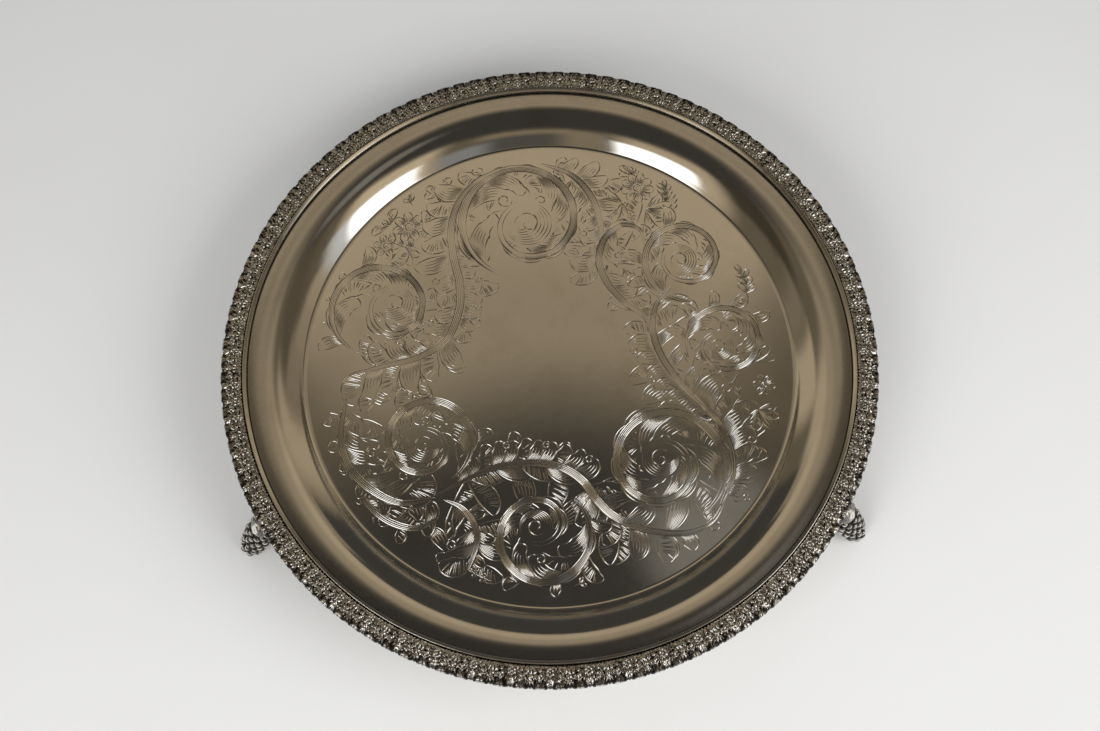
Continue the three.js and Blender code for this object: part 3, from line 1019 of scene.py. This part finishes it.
def loose_bunch(name, centres, rng):
    """The grapes and the core that they are set round, not yet fused."""
    shape = bmesh.new()
    for centre in centres:
        radius = GRAPE_RADIUS * rng.uniform(0.94, 1.05)
        grape = bmesh.ops.create_icosphere(shape, subdivisions=2, radius=radius)
        bmesh.ops.translate(shape, verts=grape["verts"], vec=centre)
    top, tip = bunch_axis()
    axis = tip - top
    size = (bunch_high[0] - 2.3, bunch_high[0] - 3.4, np.hypot(*axis) / 2 + 0.4)
    lean = Matrix.Rotation(math.atan2(axis[0], -axis[1]), 3, "X")
    core = bmesh.ops.create_icosphere(shape, subdivisions=3, radius=1)["verts"]
    bmesh.ops.scale(shape, verts=core, vec=size)
    bmesh.ops.rotate(shape, verts=core, cent=(0, 0, 0), matrix=lean)
    bmesh.ops.translate(shape, verts=core, vec=(0, *(top + tip) / 2))
    bmesh.ops.scale(shape, verts=shape.verts, vec=(MM, MM, MM))
    return mesh_from(shape, name)


def fused(piece):
    """A piece's mesh with its loose parts melted into one."""
    fuse = piece.modifiers.new("fuse", "REMESH")
    fuse.mode = "VOXEL"
    fuse.voxel_size = GRAPE_VOXEL * MM
    evaluated = piece.evaluated_get(bpy.context.evaluated_depsgraph_get())
    mesh = bpy.data.meshes.new_from_object(evaluated)
    piece.modifiers.clear()
    return mesh


def grape_hollows(points, centres):
    """1 in the creases between the grapes, 0 on their crowns, from how near the next grape is."""
    tree = tree_of(centres)
    nearest = [tree.find_n(p, 2) for p in points]
    return [min(1.0, max(0.0, 1.1 - (second[2] - first[2]) / 2.1)) for first, second in nearest]


def leaf_line(count):
    """The leaf's upper face from the side, from the rim to its drooping tip, as (distance, height)."""
    tip = (leaf_high[1] - LEAF_SHORTER, leaf_low[2] + LEAF_THICKNESS)
    start = (leaf_low[1] + 0.3, leaf_high[2])
    return bezier(start, (tip[0] - 5.0, start[1]), tip, count)


def make_grapes(name, material):
    """A bunch of small grapes, fused into one casting that fits under its leaf and is worn flat below."""
    rng = random.Random(11)
    centres = grape_centres(rng)
    bunch = add_object(name, loose_bunch(name, centres, rng))
    mesh = fused(bunch)
    bunch.data = mesh
    points = np.array([v.co for v in mesh.vertices]) / MM
    line = leaf_line(60)
    roof = np.interp(points[:, 1], line[:, 0], line[:, 1] - LEAF_THICKNESS - 0.1, right=1e3)
    points[:, 2] = np.maximum(np.minimum(points[:, 2], roof), GROUND_HEIGHT)
    mesh.vertices.foreach_set("co", (points * MM).ravel())
    mesh.polygons.foreach_set("use_smooth", [True] * len(mesh.polygons))
    mesh.materials.append(material)
    store_tarnish_and_shade(mesh, grape_hollows(points, centres))
    mesh.update()
    return bunch


def leaf_relief(along, across):
    """Height of the veins, which fan out from the stalk, and of the pleated blade between them."""
    forward = along - VEIN_ROOT
    spread = np.arctan2(np.abs(across), forward)
    reach = np.hypot(across, forward)
    pleats = 0.5 + 0.5 * np.cos(spread * 2 * math.pi / VEIN_SPREAD)
    relief = 0.5 * pleats * np.clip(reach / 7, 0, 1)
    for vein in range(VEIN_PAIRS):
        aside = reach * np.sin(spread - vein * VEIN_SPREAD)
        ahead = reach * np.cos(spread - vein * VEIN_SPREAD) > 0
        twigs = np.cos((reach - 0.8 * np.abs(aside)) * 2 * math.pi / 2.1)
        relief = relief + 0.28 * ridge(aside, 0.32) * ahead
        relief = relief + 0.1 * np.clip(twigs, 0, 1) ** 2 * ahead * (np.abs(aside) < 1.8)
    return relief - 0.3 - 0.012 * across ** 2


def leaf_blade():
    """The leaf laid flat, as points and faces: its lobed outline, filled with a fine grid."""
    lobes = smooth_line(np.array(LEAF_LOBES) * (LEAF_LENGTH, LEAF_HALF_WIDTH), 0.45)
    outline = np.vstack([lobes, (lobes * (1, -1))[-2::-1]])
    n = len(outline)
    xs = np.arange(LEAF_GRID, LEAF_LENGTH, LEAF_GRID)
    ys = np.arange(-LEAF_HALF_WIDTH, LEAF_HALF_WIDTH, LEAF_GRID)
    limit = np.interp(xs, lobes[:, 0], lobes[:, 1])
    inner = [(x, y) for x, w in zip(xs, limit) for y in ys if abs(y) < w - 0.25]
    points = [Vector((float(x), float(y))) for x, y in [*outline, *inner]]
    flat, _, faces, *_ = delaunay_2d_cdt(points, [(i, (i + 1) % n) for i in range(n)], [], 1, MERGE)
    return np.array([tuple(p) for p in flat]), [list(f) for f in faces]


def make_leaf(name, material):
    """A vine leaf, cut to a lobed outline, veined, and bent down over the grapes."""
    flat, faces = leaf_blade()
    line = leaf_line(200)
    travelled = travelled_along(line)
    share = flat[:, 0] / LEAF_LENGTH * travelled[-1]
    place, up = (np.stack([np.interp(share, travelled, values[:, k]) for k in (0, 1)], -1)
                 for values in (line, left_normals(line)))
    relief = leaf_relief(flat[:, 0], flat[:, 1])
    top = place + up * (relief[:, None] - 0.4)
    bottom = place - up * LEAF_THICKNESS
    vertices = np.vstack([np.column_stack([flat[:, 1], face]) for face in (top, bottom)])
    count = len(flat)
    edges = dict.fromkeys((a, b) for f in faces for a, b in zip(f, f[1:] + f[:1]))
    sides = [[b, a, a + count, b + count] for a, b in edges if (b, a) not in edges]
    below = [[i + count for i in reversed(f)] for f in faces]
    vine_leaf = make_piece(name, vertices, faces + below + sides, material, sharp=50)
    tarnish_and_shade = np.clip(1 - (relief + 0.1) / 0.35, 0, 1) * LEAF_TONING
    store_tarnish_and_shade(vine_leaf.data, np.concatenate([tarnish_and_shade, np.full(count, LEAF_BACK_DARKNESS)]))
    return vine_leaf


# ---- materials ----

# the dark of tarnish in recesses, also used for painted shade
TARNISH_AND_SHADE_BROWN = (0.045, 0.041, 0.035)
TONING_SCALE = 38
SCRATCH_DIRECTIONS = ((0.35, 3200), (1.4, 4100), (2.5, 2600))  # each with its own fineness


class Shader:
    """A material and the few kinds of node that the silver needs."""

    def __init__(self, name):
        self.material = bpy.data.materials.new(name)
        self.material.use_nodes = True
        self.nodes = self.material.node_tree.nodes
        self.links = self.material.node_tree.links
        self.surface = self.nodes["Principled BSDF"]
        self.place = self.nodes.new("ShaderNodeTexCoord").outputs["Object"]

    def set(self, socket, value):
        """Links a node's output to a socket, or sets the socket to a number or a colour."""
        if isinstance(value, bpy.types.NodeSocket):
            self.links.new(value, socket)
        else:
            socket.default_value = value

    def add(self, kind, output, inputs, **settings):
        """Adds a node with its settings and inputs, and returns one of its outputs."""
        node = self.nodes.new("ShaderNode" + kind)
        for setting, value in settings.items():
            setattr(node, setting, value)
        for socket, value in inputs.items():
            self.set(node.inputs[socket], value)
        return node.outputs[output]

    def noise(self, scale, detail=4.0, roughness=0.55, stretch=(1, 1, 1), turn=0.0):
        """Noise with features of about 1 / scale metres. A small first stretch draws it out along its X."""
        turned = self.add("Mapping", "Vector", {"Vector": self.place, "Rotation": (0, 0, turn)})
        drawn = self.add("Mapping", "Vector", {"Vector": turned, "Scale": stretch})
        inputs = {"Vector": drawn, "Scale": scale, "Detail": detail, "Roughness": roughness}
        return self.add("TexNoise", "Fac", inputs)

    def remap(self, value, low, high, out_low=0.0, out_high=1.0, **settings):
        inputs = {"Value": value, "From Min": low, "From Max": high, "To Min": out_low, "To Max": out_high}
        return self.add("MapRange", "Result", inputs, **settings)

    def math(self, operation, a, b=0.0):
        return self.add("Math", 0, {0: a, 1: b}, operation=operation)

    def blend(self, factor, a, b):
        """One colour fading into another."""
        colours = [c if isinstance(c, bpy.types.NodeSocket) else (*c, 1) for c in (a, b)]
        inputs = {"Factor": factor, "A": colours[0], "B": colours[1]}
        return self.add("Mix", "Result", inputs, data_type="RGBA")

    def bump(self, height, strength, distance, **below):
        """A bumped normal, over the one below where there is one."""
        inputs = {"Height": height, "Strength": strength, "Distance": distance, **below}
        return self.add("Bump", "Normal", inputs)

    def scratches(self, amount):
        """Fine hairlines in three directions, as a height from 0 to 1."""
        lines = [self.remap(self.noise(scale, 2.0, 0.5, (0.016, 1, 1), turn), 0.66, 0.74, 0.0, amount)
                 for turn, scale in SCRATCH_DIRECTIONS]
        return reduce(partial(self.math, "MAXIMUM"), lines)


def silver(name, clean, toned, roughness, scratches=1.0, darkening=0.0, ragged=0.12, crease=(0.25, 0.75),
           grain=0.15):
    """Old silver: toned in patches, scratched, and darkened by a stored vertex value, which is tarnish in
    recesses and painted shade at the wire's joints and the border's drooping edge.
    """
    s = Shader(name)
    s.set(s.surface.inputs["Metallic"], 1.0)
    patches = s.remap(s.noise(TONING_SCALE, 6.0, 0.6), 0.5, 0.72)
    specks = s.remap(s.noise(TONING_SCALE * 22, 3.0, 0.6), 0.66, 0.74, 0.0, 0.6)
    stain = s.math("MAXIMUM", s.math("MULTIPLY", patches, 0.25), s.math("MULTIPLY", specks, patches))
    colour = s.blend(stain, clean, toned)
    lines = s.scratches(scratches)
    rough = s.remap(s.noise(260, 5.0, 0.65), 0.3, 0.7, roughness * 0.75, roughness * 1.35)
    rough = s.math("ADD", rough, s.math("MULTIPLY", stain, 0.05))
    rough = s.math("ADD", rough, s.math("MULTIPLY", lines, 0.06))
    # tarnish in recesses, and painted shade where the mesh stores it, blended towards a dark brown
    if darkening:
        tarnish_and_shade = s.add("Attribute", "Fac", {}, attribute_name="tarnish_and_shade")
        broken = s.math("ADD", tarnish_and_shade, s.remap(s.noise(900, 3.0), 0.3, 0.7, -ragged, ragged))
        depth = s.remap(broken, *crease, 0.0, darkening)
        colour = s.blend(depth, colour, TARNISH_AND_SHADE_BROWN)
        rough = s.math("ADD", rough, s.math("MULTIPLY", depth, 0.3))
    s.set(s.surface.inputs["Base Color"], colour)
    s.set(s.surface.inputs["Roughness"], rough)
    swell = s.bump(s.noise(120, 3.0), grain, 0.00006)
    fine = s.bump(s.noise(2600, 2.0), grain, 0.00001, Normal=swell)
    s.set(s.surface.inputs["Normal"], s.bump(lines, 0.12, 0.000003, Normal=fine))
    return s.material


def floor_material():
    """The pale laminate that the salver stands on."""
    s = Shader("pale_floor")
    looks = {
        "Base Color": s.blend(s.noise(9, 4.0), (0.80, 0.79, 0.77), (0.84, 0.835, 0.82)),
        "Roughness": s.remap(s.noise(30, 4.0), 0.3, 0.7, 0.6, 0.75),
        "Specular IOR Level": 0,
        "Normal": s.bump(s.noise(700, 3.0), 0.05, 0.0001),
    }
    for socket, value in looks.items():
        s.set(s.surface.inputs[socket], value)
    return s.material


# ---- studio: camera, floor and light ----

CAMERA_LENS = 40.7
CAMERA_DISTANCE = 575
CAMERA_ELEVATION = 69.74  # degrees
CAMERA_AZIMUTH = -1.35
CAMERA_TARGET = (0.1, -7.2, 14.6)
FLOOR_SIZE = 20.0

WARM = (1.0, 0.80, 0.545)
DIM = (1.0, 0.92, 0.78)
NEUTRAL = (1.0, 0.99, 0.97)
EVEN_LIGHT = (0.97, 0.98, 1.0)
EVEN_STRENGTH = 0.345
LAMP_DISTANCE = 1.1
LAMP_SPREAD = 105  # degrees, which keeps the lamps' light off the floor below them

TENT_RADIUS = 650  # the room that the silver reflects stands this far from it
TENT_SIDES = 64
TENT_RINGS = 40
# The tent is painted in this order: the dim warm room, what is overhead, and the bright windows.
# A patch is its level, azimuth, half width, lowest and highest elevation, softness and tint.
TENT_ROOM = [
    (0.11, 0, 181, -90, 91, 4),
    (0.27, 94, 44, 40, 77, 11),
    (0.22, 93, 52, 34, 48, 6),
    (0.37, 95, 41, 47, 59, 5),
    (0.34, 45, 9, -20, 50, 6),
    (0.19, 28, 9, -20, 34, 6),
    (0.24, 12, 10, -20, 24, 6),
    (0.085, 20, 12, 32, 72, 6),
    (0.043, 92, 35, 0, 38, 2, DIM),
    (0.043, 92, 24, 30, 46, 1.5, DIM),
    (0.10, 92, 35, -30, 4, 8, NEUTRAL),
    (0.36, 148, 9, -20, 38, 4),
    (0.36, 133, 8, 38, 54, 5),
    (0.17, 167, 7, -20, 38, 5),
    (0.045, 184, 18, 42, 76, 6),
    (0.12, 182, 8, -20, 34, 6),
    (0.075, 278, 15, -20, 45, 5, DIM),
    (0.20, 278, 18, 46, 56, 5),
    (0.20, 256, 8, 12, 54, 6),
    (0.21, 300, 9, 8, 40, 5, NEUTRAL),
    (0.40, 222, 20, 16, 62, 7),
    (0.50, 331, 20, 10, 64, 7),
    (0.30, 0, 8, 4, 28, 6),
]
# A round patch is its level, azimuth, elevation, inner and outer angle, and tint.
TENT_OVERHEAD = [
    (0.038, 275, 82, 18, 31, DIM),
    (0.18, 17, 75, 3, 8, DIM),
]
TENT_WINDOWS = [
    (1.8, 230, 15, 23, 44, 3, NEUTRAL),
    (0.5, 348, 8, 12, 42, 5, NEUTRAL),
    (1.8, 331, 13.5, 11, 42, 3, NEUTRAL),
]


def place_camera():
    camera = add_object("camera", bpy.data.cameras.new("camera"))
    camera.data.lens = CAMERA_LENS
    camera.data.clip_start = 0.01
    elevation, azimuth = math.radians(CAMERA_ELEVATION), math.radians(CAMERA_AZIMUTH)
    turn = Matrix.Rotation(azimuth, 4, "Z")
    back = Vector((0, -math.cos(elevation), math.sin(elevation)))
    camera.location = turn @ (Vector(CAMERA_TARGET) * MM + back * CAMERA_DISTANCE * MM)
    camera.rotation_euler = (math.pi / 2 - elevation, 0, azimuth)
    bpy.context.scene.camera = camera


def lay_floor():
    shape = bmesh.new()
    bmesh.ops.create_grid(shape, x_segments=8, y_segments=8, size=FLOOR_SIZE)
    floor = add_object("floor", mesh_from(shape, "floor"))
    floor.data.materials.append(floor_material())
    floor.location.z = GROUND_HEIGHT * MM


def direction(azimuth, elevation):
    """The unit vector that points at an azimuth and an elevation, in degrees."""
    a, e = math.radians(azimuth), math.radians(elevation)
    return Vector((math.cos(a) * math.cos(e), math.sin(a) * math.cos(e), math.sin(e)))


def softbox(name, azimuth, elevation, size, power):
    """A square lamp that faces the salver. Silver sees the tent's patches instead of it."""
    lamp = add_object(name, bpy.data.lights.new(name, "AREA"))
    lamp.data.shape = "RECTANGLE"
    lamp.data.size = size
    lamp.data.size_y = size
    lamp.data.energy = power
    lamp.data.spread = math.radians(LAMP_SPREAD)
    away = direction(azimuth, elevation)
    lamp.location = away * LAMP_DISTANCE
    lamp.rotation_euler = away.to_track_quat("Z", "Y").to_euler()
    lamp.visible_glossy = False


class Tent:
    """Colours for the inside of the light tent, laid over each other by direction from its middle."""

    def __init__(self, shader):
        self.shader = shader
        self.math = shader.math
        outward = shader.add("VectorMath", "Vector", {0: shader.place}, operation="NORMALIZE")
        self.x, self.y, self.z = shader.add("SeparateXYZ", 0, {0: outward}).node.outputs
        self.elevation = self.math("ARCSINE", self.z)
        self.colour = (0.0, 0.0, 0.0)

    def fade(self, value, low, high):
        """0 below low and 1 above high, or the other way round, smoothly."""
        return self.shader.remap(value, low, high, interpolation_type="SMOOTHSTEP")

    def paint(self, level, mask, tint):
        colour = tuple(level * share for share in tint)
        self.colour = self.shader.blend(mask, self.colour, colour)

    def cone(self, level, azimuth, elevation, inner, outer, tint):
        """A round patch: full within the inner angle of its middle, gone at the outer one. In degrees."""
        middle = direction(azimuth, elevation)
        axes = zip((self.x, self.y, self.z), middle)
        x, y, z = (self.math("MULTIPLY", axis, share) for axis, share in axes)
        near = self.math("ADD", self.math("ADD", x, y), z)
        mask = self.fade(near, math.cos(math.radians(outer)), math.cos(math.radians(inner)))
        self.paint(level, mask, tint)

    def patch(self, level, azimuth, half_width, low, high, soft, tint=WARM):
        """A patch between two elevations, over a half width of azimuth each way, in degrees."""
        a, half, low, high, edge = map(math.radians, (azimuth, half_width, low, high, soft))
        x_along, y_across = (self.math("MULTIPLY", axis, math.cos(a)) for axis in (self.x, self.y))
        x_across, y_along = (self.math("MULTIPLY", axis, math.sin(a)) for axis in (self.x, self.y))
        along = self.math("ADD", x_along, y_along)
        across = self.math("SUBTRACT", y_across, x_across)
        turn = self.math("ABSOLUTE", self.math("ARCTAN2", across, along))
        sides = self.fade(turn, half + edge, half - edge)
        bottom = self.fade(self.elevation, low - edge, low + edge)
        top = self.fade(self.elevation, high + edge, high - edge)
        self.paint(level, self.math("MULTIPLY", self.math("MULTIPLY", sides, bottom), top), tint)


def tent_material():
    """A dim warm room with two bright windows, dark overhead and in front of a dark wall."""
    shader = Shader("light_tent")
    tent = Tent(shader)
    for patch in TENT_ROOM:
        tent.patch(*patch)
    for cone in TENT_OVERHEAD:
        tent.cone(*cone)
    for patch in TENT_WINDOWS:
        tent.patch(*patch)
    glow = shader.add("Emission", 0, {"Color": tent.colour})
    shader.set(shader.nodes["Material Output"].inputs["Surface"], glow)
    shader.material.cycles.emission_sampling = "NONE"
    return shader.material


def pitch_tent():
    """The tent is a dome that only reflections see."""
    rise = np.radians(np.linspace(-14, 89.9, TENT_RINGS))
    grid = around(circle(TENT_SIDES), TENT_RADIUS * np.cos(rise), TENT_RADIUS * np.sin(rise))
    mesh = bpy.data.meshes.new("light_tent")
    faces = grid_faces(TENT_SIDES, TENT_RINGS, wrap_rows=True)
    mesh.from_pydata((grid.reshape(-1, 3) * MM).tolist(), [], faces.tolist())
    mesh.materials.append(tent_material())
    tent = add_object("light_tent", mesh)
    for ray in ("camera", "diffuse", "shadow", "transmission"):
        setattr(tent, f"visible_{ray}", False)


def light_studio():
    world = bpy.data.worlds.new("studio")
    bpy.context.scene.world = world
    world.use_nodes = True
    even = world.node_tree.nodes["Background"].inputs
    even["Color"].default_value = (*EVEN_LIGHT, 1)
    even["Strength"].default_value = EVEN_STRENGTH
    pitch_tent()
    softbox("softbox_left", 234, 28, 0.8, 3.1)
    softbox("softbox_right", 333, 30, 0.9, 3.6)
    bpy.context.scene.view_settings.view_transform = "Standard"


# ---- the salver ----

# darkening: tarnish in recesses and cuts; on the wire and the border's drooping edge it is painted shade
plate_silver = silver("plate_silver", (0.88, 0.865, 0.82), (0.55, 0.47, 0.35), 0.08, darkening=0.9,
                      ragged=0.02)
wire_silver = silver("wire_silver", (0.9, 0.88, 0.83), (0.5, 0.42, 0.3), 0.16, scratches=0.2, darkening=0.75,
                     grain=0.03)
border_silver = silver("border_silver", (0.88, 0.88, 0.86), (0.52, 0.49, 0.44), 0.1, darkening=1.0,
                       crease=(0.34, 0.6), grain=0.45)
foot_silver = silver("foot_silver", (0.88, 0.86, 0.82), (0.5, 0.43, 0.34), 0.15, darkening=0.96, grain=0.3)
solder_silver = silver("solder_silver", (0.6, 0.57, 0.5), (0.3, 0.25, 0.18), 0.42, grain=0.8)


def finish_piece(piece, node):
    """Hangs a piece on the salver's body and hides the CAD node that it stands for."""
    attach(piece, "root")
    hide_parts(node)


finish_piece(make_plate(plate_silver), "plate")
finish_piece(make_wire(wire_silver), "rim_wire")
for side, start in (("left", SEAM_ANGLE), ("right", SEAM_ANGLE + 180)):
    half = make_border_half(f"cast_border_{side}", start, border_silver)
    finish_piece(half, f"border_half_{side}")

grapes = make_grapes("grapes_back", foot_silver)
vine_leaf = make_leaf("vine_leaf_back", foot_silver)
for place, angle in FOOT_ANGLES.items():
    bunch = turned_into_place(grapes, f"grapes_{place}", angle)
    finish_piece(bunch, f"foot_{place}_grape_bunch")
    leaf_copy = turned_into_place(vine_leaf, f"vine_leaf_{place}", angle)
    finish_piece(leaf_copy, f"foot_{place}_vine_leaf")
    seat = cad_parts[f"foot_{place}_solder_seat"]
    seat.data.materials.clear()
    seat.data.materials.append(solder_silver)

place_camera()
lay_floor()
light_studio()
